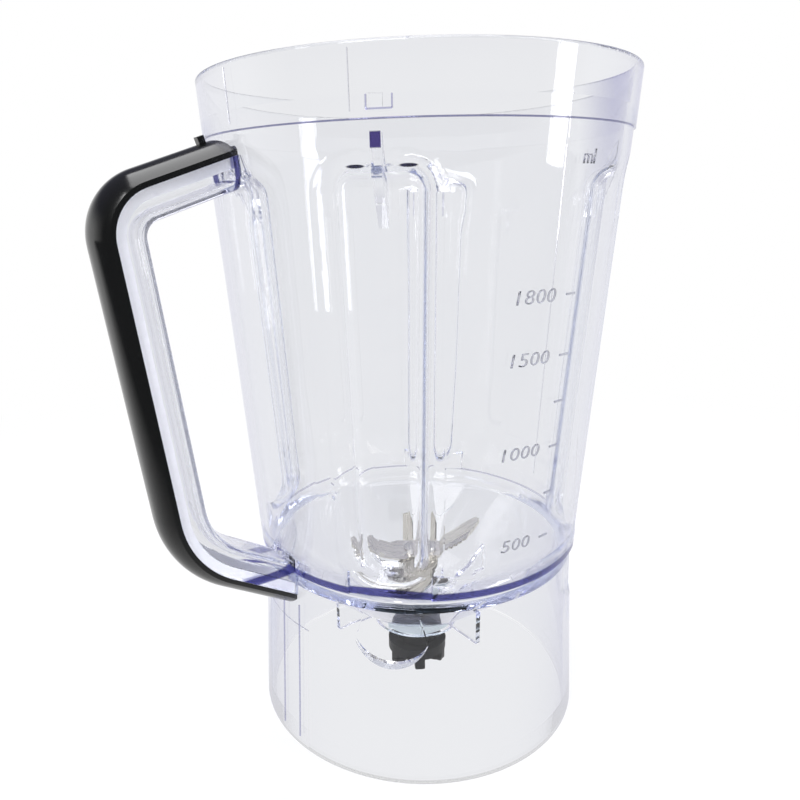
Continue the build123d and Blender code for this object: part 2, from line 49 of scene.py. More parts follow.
def new_group(name, inputs, outputs):
    """Shader node group with float inputs and named outputs, as (group, nodes, link function)."""
    group = bpy.data.node_groups.new(name, "ShaderNodeTree")
    for label, value in inputs:
        socket = group.interface.new_socket(label, in_out="INPUT", socket_type="NodeSocketFloat")
        socket.default_value = value
    for label, kind in outputs:
        group.interface.new_socket(label, in_out="OUTPUT", socket_type=kind)
    return group, group.nodes, group.links.new


def place_group(tree_nodes, group, values):
    """Puts a group into a material with its own values."""
    node = tree_nodes.new("ShaderNodeGroup")
    node.node_tree = group
    for label, value in values.items():
        node.inputs[label].default_value = value
    return node


def feed(link, socket, value):
    """Links an output to a socket, or sets a plain value on it."""
    if isinstance(value, bpy.types.NodeSocket):
        link(value, socket)
    else:
        socket.default_value = value


def reckon(tree_nodes, link, operation, first, second):
    """Math node on outputs or plain numbers, as its output."""
    node = tree_nodes.new("ShaderNodeMath")
    node.operation = operation
    feed(link, node.inputs[0], first)
    feed(link, node.inputs[1], second)
    return node.outputs["Value"]


def blend_colours(tree_nodes, link, share, first, second):
    """Colour mix of outputs or plain colours, as its output."""
    node = tree_nodes.new("ShaderNodeMix")
    node.data_type = "RGBA"
    feed(link, node.inputs["Factor"], share)
    feed(link, node.inputs["A"], first)
    feed(link, node.inputs["B"], second)
    return node.outputs["Result"]


def all_of(tree_nodes, link, *masks):
    """Product of masks, as its output."""
    product = masks[0]
    for mask in masks[1:]:
        product = reckon(tree_nodes, link, "MULTIPLY", product, mask)
    return product


def ramp(tree_nodes, link, value, span, course="LINEAR"):
    """Rise from 0 to 1 over a span of the value, as its output."""
    node = tree_nodes.new("ShaderNodeMapRange")
    node.interpolation_type = course
    node.inputs["From Min"].default_value = span[0]
    node.inputs["From Max"].default_value = span[1]
    link(value, node.inputs["Value"])
    return node.outputs["Result"]


def reach_along(tree_nodes, link, place, way):
    """Distance of a place along a direction, as its output."""
    node = tree_nodes.new("ShaderNodeVectorMath")
    node.operation = "DOT_PRODUCT"
    node.inputs[1].default_value = way
    link(place, node.inputs[0])
    return node.outputs["Value"]


def reach_from_axis(tree_nodes, link, place):
    """Distance of a place from the jar's upright axis, as its output."""
    level = tree_nodes.new("ShaderNodeVectorMath")
    level.operation = "MULTIPLY"
    level.inputs[1].default_value = (1, 1, 0)
    reach = tree_nodes.new("ShaderNodeVectorMath")
    reach.operation = "LENGTH"
    link(place, level.inputs[0])
    link(level.outputs["Vector"], reach.inputs[0])
    return reach.outputs["Value"]


def dress(node_names, material):
    """Gives CAD nodes a finish."""
    for name in node_names:
        mesh = nodes[name].data
        mesh.materials.clear()
        mesh.materials.append(material)


noise_span = (0.3, 0.7)
cloud_detail = 3.0


def spread_gloss(tree_nodes, link, noise, given, made):
    """Spreads a noise from the group's bright roughness to its dull one."""
    spread = tree_nodes.new("ShaderNodeMapRange")
    spread.inputs["From Min"].default_value = noise_span[0]
    spread.inputs["From Max"].default_value = noise_span[1]
    link(noise.outputs["Fac"], spread.inputs["Value"])
    link(given.outputs["Bright"], spread.inputs["To Min"])
    link(given.outputs["Dull"], spread.inputs["To Max"])
    link(spread.outputs["Result"], made.inputs["Roughness"])


def make_mould_gloss():
    """Group: soft patches of a moulded surface, as a roughness and as a mask."""
    group, inside, link = new_group(
        "mould_gloss",
        [("Size", 60.0), ("Bright", 0.02), ("Dull", 0.06)],
        [("Roughness", "NodeSocketFloat"), ("Patches", "NodeSocketFloat")],
    )
    given = inside.new("NodeGroupInput")
    made = inside.new("NodeGroupOutput")
    place = inside.new("ShaderNodeTexCoord")
    cloud = inside.new("ShaderNodeTexNoise")
    cloud.inputs["Detail"].default_value = cloud_detail
    link(place.outputs["Object"], cloud.inputs["Vector"])
    link(given.outputs["Size"], cloud.inputs["Scale"])
    spread_gloss(inside, link, cloud, given, made)
    link(cloud.outputs["Fac"], made.inputs["Patches"])
    return group


mould_gloss = make_mould_gloss()


def make_level_band():
    """Group: mask of a level band round the jar, from a radius outwards."""
    group, inside, link = new_group(
        "level_band",
        [("Foot", 0.0), ("Head", 0.01), ("Fade", 0.0005), ("Radius", 0.0)],
        [("Mask", "NodeSocketFloat")],
    )
    given = inside.new("NodeGroupInput")
    made = inside.new("NodeGroupOutput")
    place = inside.new("ShaderNodeTexCoord")
    apart = inside.new("ShaderNodeSeparateXYZ")
    link(place.outputs["Object"], apart.inputs["Vector"])
    reach = reach_from_axis(inside, link, place.outputs["Object"])
    foot = inside.new("ShaderNodeMapRange")
    link(apart.outputs["Z"], foot.inputs["Value"])
    faded_foot = reckon(inside, link, "SUBTRACT", given.outputs["Foot"], given.outputs["Fade"])
    link(faded_foot, foot.inputs["From Min"])
    link(given.outputs["Foot"], foot.inputs["From Max"])
    head = inside.new("ShaderNodeMapRange")
    link(apart.outputs["Z"], head.inputs["Value"])
    faded_head = reckon(inside, link, "ADD", given.outputs["Head"], given.outputs["Fade"])
    link(faded_head, head.inputs["From Min"])
    link(given.outputs["Head"], head.inputs["From Max"])
    outside = reckon(inside, link, "GREATER_THAN", reach, given.outputs["Radius"])
    link(all_of(inside, link, foot.outputs["Result"], head.outputs["Result"], outside), made.inputs["Mask"])
    return group


level_band = make_level_band()

plastic_ior = 1.5
plastic_pale = (0.985, 0.985, 0.99, 1.0)
plastic_cool = (0.965, 0.97, 0.98, 1.0)
# Painted violet shade for walls seen at a slant: at edges, and darker at lines.
edge_slant_shade = (0.64, 0.64, 0.77, 1.0)
line_slant_shade = (0.28, 0.28, 0.58, 1.0)
edge_power = 3.0
line_power = 6.0
dye_colour = (0.62, 0.66, 0.81, 1.0)
dye_density = 9.0
lamp_share = (0.85, 0.86, 0.92, 1.0)
# Painted shade: a dark blue band at the ring.
ring_painted_shade = (0.015, 0.015, 0.13, 1.0)
ring_place = {"Foot": 0.0782, "Head": 0.0812, "Fade": 0.0006, "Radius": 0.0655}
# Painted shade: a thin dark line at the shoulder step.
shoulder_painted_shade = (0.1, 0.1, 0.22, 1.0)
shoulder_place = {"Foot": 0.2393, "Head": 0.2397, "Fade": 0.0001, "Radius": 0.0785}
# Painted shade: dark blocks at the fin tops.
fin_painted_shade = (0.008, 0.005, 0.06, 1.0)
fin_place = {"Foot": 0.2318, "Head": 0.2360, "Fade": 0.0004, "Radius": 0.0770}
fin_half = 0.0023
# Painted dark reflection: lens-shaped marks beside each fin at the flute heads.
lens_painted_reflection = (0.0004, 0.0004, 0.003, 1.0)
lens_shift = 0.0018
lens_middle = (0.0112, 0.2268)
lens_half = (0.0045, 0.0006)
lens_reach = 0.0725
lens_sharpness = 2.5
# Painted shade: dark navy at the rim where it is seen at a slant.
rim_painted_shade = (0.002, 0.002, 0.03, 1.0)
rim_place = {"Foot": 0.2574, "Head": 0.2605, "Fade": 0.0006, "Radius": 0.0780}
# Painted violet shade on one side of the upper wall.
side_painted_shade = (0.03, 0.026, 0.33, 1.0)
side_place = {"Foot": 0.2000, "Head": 0.2605, "Fade": 0.0700, "Radius": 0.0660}
side_way = (0.8, -0.6, 0.0)
side_span = (0.0705, 0.0785)
# Painted shade: a dark crescent where the handle's root meets the wall.
root_painted_shade = (0.012, 0.012, 0.1, 1.0)
root_place = {"Foot": 0.1900, "Head": 0.2360, "Fade": 0.0005, "Radius": 0.0770}
root_half = 0.0113
root_reach = (0.0004, 0.0022)
cone_foot = 0.063343
cone_slope = 0.069522
flute_foot = 0.0860
flute_depth = -0.0006


def make_clear_plastic(name):
    """Clear plastic: bright transmission, a violet dye inside, painted shade and dark reflections, and lamp
    light passes to what is behind.
    """
    material, inside, link, shader = new_finish(name)
    gloss = place_group(inside, mould_gloss, {"Size": 40.0, "Bright": 0.0, "Dull": 0.025})
    tint = blend_colours(inside, link, gloss.outputs["Patches"], plastic_pale, plastic_cool)
    slant = inside.new("ShaderNodeLayerWeight")
    side = inside.new("ShaderNodeNewGeometry")
    entering = reckon(inside, link, "SUBTRACT", 1.0, side.outputs["Backfacing"])
    spot = inside.new("ShaderNodeTexCoord")
    apart = inside.new("ShaderNodeSeparateXYZ")
    link(spot.outputs["Object"], apart.inputs["Vector"])
    across = reckon(inside, link, "ABSOLUTE", apart.outputs["X"], 0.0)
    along = reckon(inside, link, "ABSOLUTE", apart.outputs["Y"], 0.0)
    radius = reach_from_axis(inside, link, spot.outputs["Object"])

    # The flute heads lie on the diagonals: each has a fin, and beside it a pair of lens-shaped marks of
    # painted dark reflection.
    off_fin = reckon(inside, link, "SUBTRACT", along, across)
    at_fin = reckon(inside, link, "LESS_THAN", reckon(inside, link, "ABSOLUTE", off_fin, 0.0), fin_half)
    off_lens = reckon(inside, link, "ABSOLUTE", reckon(inside, link, "SUBTRACT", off_fin, lens_shift), 0.0)
    oval = 0.0
    for place, middle, half in zip((off_lens, apart.outputs["Z"]), lens_middle, lens_half):
        share = reckon(inside, link, "DIVIDE", reckon(inside, link, "SUBTRACT", place, middle), half)
        oval = reckon(inside, link, "ADD", reckon(inside, link, "MULTIPLY", share, share), oval)
    in_oval = all_of(inside, link, reckon(inside, link, "SUBTRACT", 1.0, oval), lens_sharpness)
    in_oval = reckon(inside, link, "MAXIMUM", reckon(inside, link, "MINIMUM", in_oval, 1.0), 0.0)
    far_out = reckon(inside, link, "GREATER_THAN", radius, lens_reach)
    lens_reflection_mask = all_of(inside, link, in_oval, far_out, entering)

    # The wall is a cone: flutes and inner faces lie inside it, and the handle's root stands just outside.
    leaning = reckon(inside, link, "MULTIPLY", apart.outputs["Z"], cone_slope)
    proud = reckon(inside, link, "SUBTRACT", radius, reckon(inside, link, "ADD", leaning, cone_foot))
    in_flute = all_of(
        inside, link,
        reckon(inside, link, "LESS_THAN", proud, flute_depth),
        reckon(inside, link, "GREATER_THAN", apart.outputs["Z"], flute_foot),
    )
    at_root = all_of(
        inside, link,
        reckon(inside, link, "LESS_THAN", along, root_half),
        reckon(inside, link, "LESS_THAN", apart.outputs["X"], 0.0),
        reckon(inside, link, "GREATER_THAN", proud, root_reach[0]),
        reckon(inside, link, "LESS_THAN", proud, root_reach[1]),
    )

    # Painted violet shade on one side of the upper wall, most where it is seen at a slant.
    toward = reach_along(inside, link, spot.outputs["Object"], side_way)
    softened = reckon(inside, link, "SQRT", slant.outputs["Facing"], 0.0)
    side_shade_mask = all_of(inside, link, ramp(inside, link, toward, side_span), softened)

    # Edges seen at a slant get painted violet shade, apart from the flutes, and painted shade at ring,
    # shoulder, fins, handle root, rim and one side comes over it.
    plain = reckon(inside, link, "SUBTRACT", 1.0, in_flute)
    for power, colour in ((edge_power, edge_slant_shade), (line_power, line_slant_shade)):
        outline = reckon(inside, link, "POWER", slant.outputs["Facing"], power)
        tint = blend_colours(inside, link, all_of(inside, link, outline, plain), tint, colour)
    for place, colour, where in (
        (ring_place, ring_painted_shade, 1.0),
        (shoulder_place, shoulder_painted_shade, 1.0),
        (fin_place, fin_painted_shade, at_fin),
        (root_place, root_painted_shade, at_root),
        (rim_place, rim_painted_shade, outline),
        (side_place, side_painted_shade, side_shade_mask),
    ):
        band = place_group(inside, level_band, place)
        front = all_of(inside, link, band.outputs["Mask"], entering, where)
        tint = blend_colours(inside, link, front, tint, colour)
    # Painted dark reflection in the lens marks beside the fins.
    tint = blend_colours(inside, link, lens_reflection_mask, tint, lens_painted_reflection)
    link(tint, shader.inputs["Base Color"])
    link(gloss.outputs["Roughness"], shader.inputs["Roughness"])
    shader.inputs["IOR"].default_value = plastic_ior
    shader.inputs["Transmission Weight"].default_value = 1.0

    # The dye is in the volume, and lamp light passes straight through to what stands behind.
    dye = inside.new("ShaderNodeVolumeAbsorption")
    dye.inputs["Color"].default_value = dye_colour
    dye.inputs["Density"].default_value = dye_density
    path = inside.new("ShaderNodeLightPath")
    passed = inside.new("ShaderNodeBsdfTransparent")
    passed.inputs["Color"].default_value = lamp_share
    either = inside.new("ShaderNodeMixShader")
    out = inside["Material Output"]
    link(path.outputs["Is Shadow Ray"], either.inputs["Fac"])
    link(shader.outputs["BSDF"], either.inputs[1])
    link(passed.outputs["BSDF"], either.inputs[2])
    link(either.outputs["Shader"], out.inputs["Surface"])
    link(dye.outputs["Volume"], out.inputs["Volume"])
    return material


clear_plastic = make_clear_plastic("clear_plastic")
dress(["jar_body"], clear_plastic)


# Measuring scale: digits and short ticks moulded on the outside of the wall, beside the right-hand flute.
# Each is laid on the wall as a flat outline and raised from it, and its grey colour is painted shade for
# its sharp sides.
scale_angle = -85.3
scale_rows = (
    (0.1864, "1800"),
    (0.1659, "1500"),
    (0.1493, ""),
    (0.1328, "1000"),
    (0.1149, ""),
    (0.0971, "500"),
)
digit_height = 0.0044
digit_pitch = 0.0044
digit_width = 0.0035
narrow_width = 0.0013
digit_slant = 0.12
stroke_trim = 0.012
tick_length = 0.0043
tick_width = 0.0006
tick_gap = 0.0050
tick_cuts = 6
curve_steps = 4
unit_place = (-84.0, 0.2286)
unit_width = 0.0062
mark_proud = 0.00035
mark_sunk = 0.0001
wall_clear = 0.1


def deselect_all():
    """Leaves no object selected."""
    bpy.ops.object.select_all(action="DESELECT")


def apply_modifier(piece, name):
    """Applies one modifier to the piece, which becomes the active object."""
    bpy.context.view_layer.objects.active = piece
    bpy.ops.object.modifier_apply(modifier=name)


def lay_on_wall(mark, angle, height):
    """Projects a flat outline on the wall at an angle and a height, and raises it from the surface."""
    turn = math.radians(angle)
    outward = Vector((math.cos(turn), math.sin(turn), 0))
    along = Vector((-math.sin(turn), math.cos(turn), 0))
    facing = Matrix((along, (0, 0, 1), outward)).transposed().to_4x4()
    mark.matrix_world = Matrix.Translation(outward * wall_clear + Vector((0, 0, height))) @ facing
    bpy.context.view_layer.update()
    wrap = mark.modifiers.new("wrap", "SHRINKWRAP")
    wrap.target = nodes["jar_body"]
    wrap.wrap_method = "PROJECT"
    wrap.use_project_z = True
    wrap.use_positive_direction = False
    wrap.use_negative_direction = True
    apply_modifier(mark, "wrap")
    raise_up = mark.modifiers.new("raise", "SOLIDIFY")
    raise_up.thickness = mark_proud + mark_sunk
    raise_up.offset = (mark_proud - mark_sunk) / (mark_proud + mark_sunk)
    apply_modifier(mark, "raise")
    deselect_all()
    mark.select_set(True)
    bpy.ops.object.transform_apply(location=True, rotation=True, scale=True)


def add_letters(words, width, height):
    """Flat mesh of generic digits or a unit, centred and brought to a width and a height."""
    deselect_all()
    bpy.ops.object.text_add(location=(0, 0, 0))
    letters = bpy.context.object
    letters.data.body = words
    letters.data.align_x = "CENTER"
    letters.data.align_y = "CENTER"
    letters.data.shear = digit_slant
    letters.data.offset = -stroke_trim
    letters.data.resolution_u = curve_steps
    bpy.context.view_layer.update()
    letters.scale = (width / letters.dimensions.x, height / letters.dimensions.y, 1)
    bpy.ops.object.convert(target="MESH")
    letters = bpy.context.object
    bpy.ops.object.transform_apply(location=False, rotation=False, scale=True)
    return letters


def add_strip(length, width, cuts):
    """Flat strip along X, cut across so that it can follow the wall."""
    deselect_all()
    bpy.ops.mesh.primitive_plane_add(size=1, location=(0, 0, 0))
    strip = bpy.context.object
    strip.scale = (length, width, 1)
    bpy.ops.object.transform_apply(location=False, rotation=False, scale=True)
    bpy.ops.object.mode_set(mode="EDIT")
    bpy.ops.mesh.select_all(action="SELECT")
    bpy.ops.mesh.subdivide(number_cuts=cuts)
    bpy.ops.object.mode_set(mode="OBJECT")
    return strip


def join_as(pieces, name):
    """Joins pieces into one named mesh."""
    deselect_all()
    for piece in pieces:
        piece.select_set(True)
    bpy.context.view_layer.objects.active = pieces[0]
    bpy.ops.object.join()
    joined = bpy.context.object
    joined.name = name
    return joined


marks = []
for height, words in scale_rows:
    tick = add_strip(tick_length, tick_width, tick_cuts)
    lay_on_wall(tick, scale_angle, height)
    marks.append(tick)
    wall_radius = Vector(tick.data.vertices[0].co[:2]).length
    for place, letter in enumerate(words):
        aside = tick_length / 2 + tick_gap + (len(words) - place - 0.5) * digit_pitch
        digit = add_letters(letter, narrow_width if letter == "1" else digit_width, digit_height)
        lay_on_wall(digit, scale_angle - math.degrees(aside / wall_radius), height)
        marks.append(digit)
unit = add_letters("ml", unit_width, digit_height)
lay_on_wall(unit, *unit_place)
marks.append(unit)
scale_marks = join_as(marks, "scale_marks")


def make_shaded_mark_plastic(name, dark, pale):
    """Clear plastic of thin raised marks, with painted shade in its colour for their steep sides."""
    material, inside, link, shader = new_finish(name)
    gloss = place_group(inside, mould_gloss, {"Size": 900.0, "Bright": 0.05, "Dull": 0.2})
    tint = blend_colours(inside, link, gloss.outputs["Patches"], dark, pale)
    link(tint, shader.inputs["Base Color"])
    link(gloss.outputs["Roughness"], shader.inputs["Roughness"])
    shader.inputs["IOR"].default_value = plastic_ior
    shader.inputs["Transmission Weight"].default_value = 1.0
    return material


# Painted shade: the clear digits and ticks are greyed for the shade of their steep sides.
scale_mark_shade = make_shaded_mark_plastic("scale_mark_shade", dark=(0.45, 0.45, 0.5, 1), pale=(0.8, 0.8, 0.84, 1))
scale_marks.data.materials.append(scale_mark_shade)
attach(scale_marks, "jar")


# Mould lines: fine upright ridges where the parts of the mould met, on the collar and the wall.
# They belong to the clear moulding, and so do the stronger edges at the skirt's key slot and round the lug.
line_width = 0.00025
line_places = (
    (186.5, 0.2415, 0.2580),
    (-140.0, 0.2415, 0.2580),
    (-6.0, 0.2415, 0.2580),
    (-6.0, 0.0870, 0.2385),
)
ridge_cuts = 8
edge_width = 0.0005
slot_edges = ((180.5, 0.0040, 0.0640), (190.0, 0.0040, 0.0640))
lug_middle = (226.1, 0.2420)
lug_side = (0.0074, 0.0038)
lug_turn = 2.62


def add_ridges(places, width):
    """Upright ridges on the wall, each from a foot to a top at its own angle."""
    ridges = []
    for angle, foot, top in places:
        ridge = add_strip(width, top - foot, ridge_cuts)
        lay_on_wall(ridge, angle, (foot + top) / 2)
        ridges.append(ridge)
    return ridges


mould_lines = join_as(add_ridges(line_places, line_width), "mould_lines")
# Painted shade: the ridges' pale grey stands for the shade of their steep sides.
mould_line_shade = make_shaded_mark_plastic("mould_line_shade", dark=(0.8, 0.8, 0.86, 1), pale=(0.92, 0.92, 0.95, 1))
mould_lines.data.materials.append(mould_line_shade)
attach(mould_lines, "jar")

edges = add_ridges(slot_edges, edge_width)
lug_foot = add_strip(lug_side[0], edge_width, ridge_cuts)
lay_on_wall(lug_foot, *lug_middle)
edges.append(lug_foot)
for turn in (-lug_turn, lug_turn):
    side_edge = (lug_middle[0] + turn, lug_middle[1], lug_middle[1] + lug_side[1])
    edges += add_ridges([side_edge], edge_width)
mould_edges = join_as(edges, "mould_edges")
# Painted shade: the stronger edges are violet-grey for the shade of their steep sides.
mould_edge_shade = make_shaded_mark_plastic("mould_edge_shade", dark=(0.5, 0.5, 0.68, 1), pale=(0.65, 0.65, 0.8, 1))
mould_edges.data.materials.append(mould_edge_shade)
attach(mould_edges, "jar")


# Grip cover: black moulded shell that snaps over the handle's open side.
# Its glossy skin picks up soft reflections along the crown. Its rails and lips in the channel are painted
# pale, as painted light for the bright channel seen through the clear wall.
def make_moulded_plastic(name, dark, worn, size, bright, dull, shine=0.5):
    """Moulded plastic or rubber, from glossy to matt, with faint patches in colour and gloss."""
    material, inside, link, shader = new_finish(name)
    gloss = place_group(inside, mould_gloss, {"Size": size, "Bright": bright, "Dull": dull})
    tone = blend_colours(inside, link, gloss.outputs["Patches"], dark, worn)
    link(tone, shader.inputs["Base Color"])
    link(gloss.outputs["Roughness"], shader.inputs["Roughness"])
    shader.inputs["Specular IOR Level"].default_value = shine
    return material


grip_black = make_moulded_plastic(
    "grip_black", dark=(0.003, 0.0033, 0.003, 1), worn=(0.005, 0.0053, 0.005, 1),
    size=35.0, bright=0.1, dull=0.18, shine=0.8)
rail_painted_light = (0.96, 0.96, 0.97, 1)
rail_half = 0.0095
rail_top = 0.2325
rail_facing = 0.9
lip_inner = 0.0074
lip_facing = 0.2
window_middle = (-0.100, 0.0, 0.160)
inside = grip_black.node_tree.nodes
link = grip_black.node_tree.links.new
face = inside["Principled BSDF"].inputs["Base Color"]
spot = inside.new("ShaderNodeTexCoord")
aside = inside.new("ShaderNodeSeparateXYZ")
facing = inside.new("ShaderNodeSeparateXYZ")
link(spot.outputs["Object"], aside.inputs["Vector"])
link(spot.outputs["Normal"], facing.inputs["Vector"])
sideways = reckon(inside, link, "ABSOLUTE", facing.outputs["Y"], 0.0)
off_middle = reckon(inside, link, "ABSOLUTE", aside.outputs["Y"], 0.0)
on_rail = all_of(
    inside, link,
    reckon(inside, link, "GREATER_THAN", sideways, rail_facing),
    reckon(inside, link, "LESS_THAN", off_middle, rail_half),
    reckon(inside, link, "LESS_THAN", aside.outputs["Z"], rail_top),
)
inward = inside.new("ShaderNodeVectorMath")
inward.operation = "SUBTRACT"
inward.inputs[0].default_value = window_middle
straight = inside.new("ShaderNodeVectorMath")
straight.operation = "NORMALIZE"
toward = inside.new("ShaderNodeVectorMath")
toward.operation = "DOT_PRODUCT"
link(spot.outputs["Object"], inward.inputs[1])
link(inward.outputs["Vector"], straight.inputs[0])
link(straight.outputs["Vector"], toward.inputs[0])
link(spot.outputs["Normal"], toward.inputs[1])
on_lip = all_of(
    inside, link,
    reckon(inside, link, "GREATER_THAN", toward.outputs["Value"], lip_facing),
    reckon(inside, link, "GREATER_THAN", off_middle, lip_inner),
)
# Painted light: the rails and lips inside the channel turn pale.
pale = reckon(inside, link, "MAXIMUM", on_rail, on_lip)
link(blend_colours(inside, link, pale, face.links[0].from_socket, rail_painted_light), face)
dress(["grip_cover"], grip_black)


# Bearing housing: turned metal barrel with a flange on the floor and a threaded neck below it.
# Fine rings from the turning tool run round its bright faces.
ring_detail = 2.0
ring_strength = 0.05
ring_depth = 0.0002


def make_turned_rings():
    """Group: fine rings left by turning about the jar's axis, as a roughness, a tone and a height."""
    group, inside, link = new_group(
        "turned_rings",
        [("Rings", 900.0), ("Bright", 0.12), ("Dull", 0.3)],
        [("Roughness", "NodeSocketFloat"), ("Tone", "NodeSocketFloat"), ("Height", "NodeSocketFloat")],
    )
    given = inside.new("NodeGroupInput")
    made = inside.new("NodeGroupOutput")
    place = inside.new("ShaderNodeTexCoord")
    apart = inside.new("ShaderNodeSeparateXYZ")
    profile = inside.new("ShaderNodeCombineXYZ")
    lines = inside.new("ShaderNodeTexNoise")
    lines.inputs["Detail"].default_value = ring_detail
    link(place.outputs["Object"], apart.inputs["Vector"])
    link(reach_from_axis(inside, link, place.outputs["Object"]), profile.inputs["X"])
    link(apart.outputs["Z"], profile.inputs["Y"])
    link(profile.outputs["Vector"], lines.inputs["Vector"])
    link(given.outputs["Rings"], lines.inputs["Scale"])
    spread_gloss(inside, link, lines, given, made)
    link(lines.outputs["Fac"], made.inputs["Tone"])
    link(lines.outputs["Fac"], made.inputs["Height"])
    return group


turned_rings = make_turned_rings()


def make_turned_metal(name, low, high, rings, bright, dull, bare=1.0):
    """Turned metal, with its colour and gloss varied from ring to ring."""
    material, inside, link, shader = new_finish(name)
    ring = place_group(inside, turned_rings, {"Rings": rings, "Bright": bright, "Dull": dull})
    tone = blend_colours(inside, link, ring.outputs["Tone"], low, high)
    bump = inside.new("ShaderNodeBump")
    bump.inputs["Strength"].default_value = ring_strength
    bump.inputs["Distance"].default_value = ring_depth
    link(tone, shader.inputs["Base Color"])
    link(ring.outputs["Roughness"], shader.inputs["Roughness"])
    link(ring.outputs["Height"], bump.inputs["Height"])
    link(bump.outputs["Normal"], shader.inputs["Normal"])
    shader.inputs["Metallic"].default_value = bare
    return material


housing_metal = make_turned_metal(
    "housing_metal", low=(0.14, 0.135, 0.125, 1), high=(0.25, 0.24, 0.22, 1),
    rings=1200.0, bright=0.1, dull=0.22)
dress(["bearing_housing"], housing_metal)


# Gasket, clamp washer and nut: they clamp the housing through the floor.
# The gasket is pale silicone, and the washer and nut are steel with a grey-green zinc coat.
gasket_silicone = make_moulded_plastic(
    "gasket_silicone", dark=(0.75, 0.76, 0.74, 1), worn=(0.85, 0.86, 0.84, 1),
    size=200.0, bright=0.45, dull=0.6)
dress(["housing_gasket"], gasket_silicone)
zinc_coat = make_turned_metal(
    "zinc_coat", low=(0.5, 0.57, 0.55, 1), high=(0.66, 0.72, 0.7, 1),
    rings=300.0, bright=0.3, dull=0.45, bare=0.3)
dress(["clamp_washer", "clamp_nut"], zinc_coat)


# Bushes and shaft seal: sintered bronze bearings for the shaft and a rubber lip at the top of the housing.
# All three are pressed into the housing and hidden in use.
bush_bronze = make_turned_metal(
    "bush_bronze", low=(0.5, 0.36, 0.18, 1), high=(0.62, 0.47, 0.27, 1),
    rings=500.0, bright=0.35, dull=0.5)
dress(["upper_bush", "lower_bush"], bush_bronze)
seal_rubber = make_moulded_plastic(
    "seal_rubber", dark=(0.012, 0.012, 0.012, 1), worn=(0.03, 0.03, 0.03, 1),
    size=300.0, bright=0.5, dull=0.7)
dress(["shaft_seal"], seal_rubber)


# Drive shaft with its washers, clip, spacer and the washer under the riveted head.
# Ground and turned steel, with slippery pale washers where it bears on the housing.
shaft_steel = make_turned_metal(
    "shaft_steel", low=(0.5, 0.49, 0.47, 1), high=(0.66, 0.65, 0.62, 1),
    rings=700.0, bright=0.18, dull=0.32)
dress(["drive_shaft", "retaining_clip", "blade_spacer", "top_washer", "coupling_insert"], shaft_steel)
washer_nylon = make_moulded_plastic(
    "washer_nylon", dark=(0.72, 0.71, 0.66, 1), worn=(0.82, 0.81, 0.77, 1),
    size=250.0, bright=0.35, dull=0.5)
dress(["upper_thrust_washer", "lower_thrust_washer"], washer_nylon)


# Blades: two crossed strips of stainless sheet, bent at the hub and ground along the cutting edges.
# The rolled face has a fine grain and a warm grey tone, and the lower blade gets a darker copy as painted
# shade.
grain_stretch = (60.0, 1500.0, 60.0)
grain_detail = 3.0


def make_rolled_grain():
    """Group: fine straight grain of rolled sheet, as a roughness and a tone."""
    group, inside, link = new_group(
        "rolled_grain",
        [("Turn", 0.0), ("Bright", 0.2), ("Dull", 0.4)],
        [("Roughness", "NodeSocketFloat"), ("Tone", "NodeSocketFloat")],
    )
    given = inside.new("NodeGroupInput")
    made = inside.new("NodeGroupOutput")
    place = inside.new("ShaderNodeTexCoord")
    turn = inside.new("ShaderNodeVectorRotate")
    turn.rotation_type = "Z_AXIS"
    stretch = inside.new("ShaderNodeVectorMath")
    stretch.operation = "MULTIPLY"
    stretch.inputs[1].default_value = grain_stretch
    lines = inside.new("ShaderNodeTexNoise")
    lines.inputs["Scale"].default_value = 1.0
    lines.inputs["Detail"].default_value = grain_detail
    link(place.outputs["Object"], turn.inputs["Vector"])
    link(given.outputs["Turn"], turn.inputs["Angle"])
    link(turn.outputs["Vector"], stretch.inputs[0])
    link(stretch.outputs["Vector"], lines.inputs["Vector"])
    spread_gloss(inside, link, lines, given, made)
    link(lines.outputs["Fac"], made.inputs["Tone"])
    return group


rolled_grain = make_rolled_grain()


def make_blade_steel(name, turn, low, high):
    """Stainless sheet with its grain along one blade."""
    material, inside, link, shader = new_finish(name)
    grain = place_group(inside, rolled_grain, {"Turn": math.radians(turn), "Bright": 0.22, "Dull": 0.38})
    tone = blend_colours(inside, link, grain.outputs["Tone"], low, high)
    link(tone, shader.inputs["Base Color"])
    link(grain.outputs["Roughness"], shader.inputs["Roughness"])
    shader.inputs["Metallic"].default_value = 1.0
    return material


upper_steel = make_blade_steel(
    "upper_blade_steel", turn=36.0, low=(0.56, 0.54, 0.5, 1), high=(0.76, 0.74, 0.69, 1))
dress(["upper_blade"], upper_steel)
# Painted shade: the lower blade is a darker copy of the same steel, for the shade it sits in low in the
# jar.
shaded_lower_steel = make_blade_steel(
    "lower_blade_shaded_steel", turn=-54.0, low=(0.2, 0.19, 0.17, 1), high=(0.34, 0.33, 0.3, 1))
dress(["lower_blade"], shaded_lower_steel)


# Drive coupling: black moulded dog under the floor that the motor's own dog turns.
# It is tough matt plastic, moulded round a steel insert.
coupling_black = make_moulded_plastic(
    "coupling_black", dark=(0.004, 0.004, 0.004, 1), worn=(0.008, 0.008, 0.0085, 1),
    size=150.0, bright=0.35, dull=0.5, shine=0.1)
dress(["drive_coupling"], coupling_black)


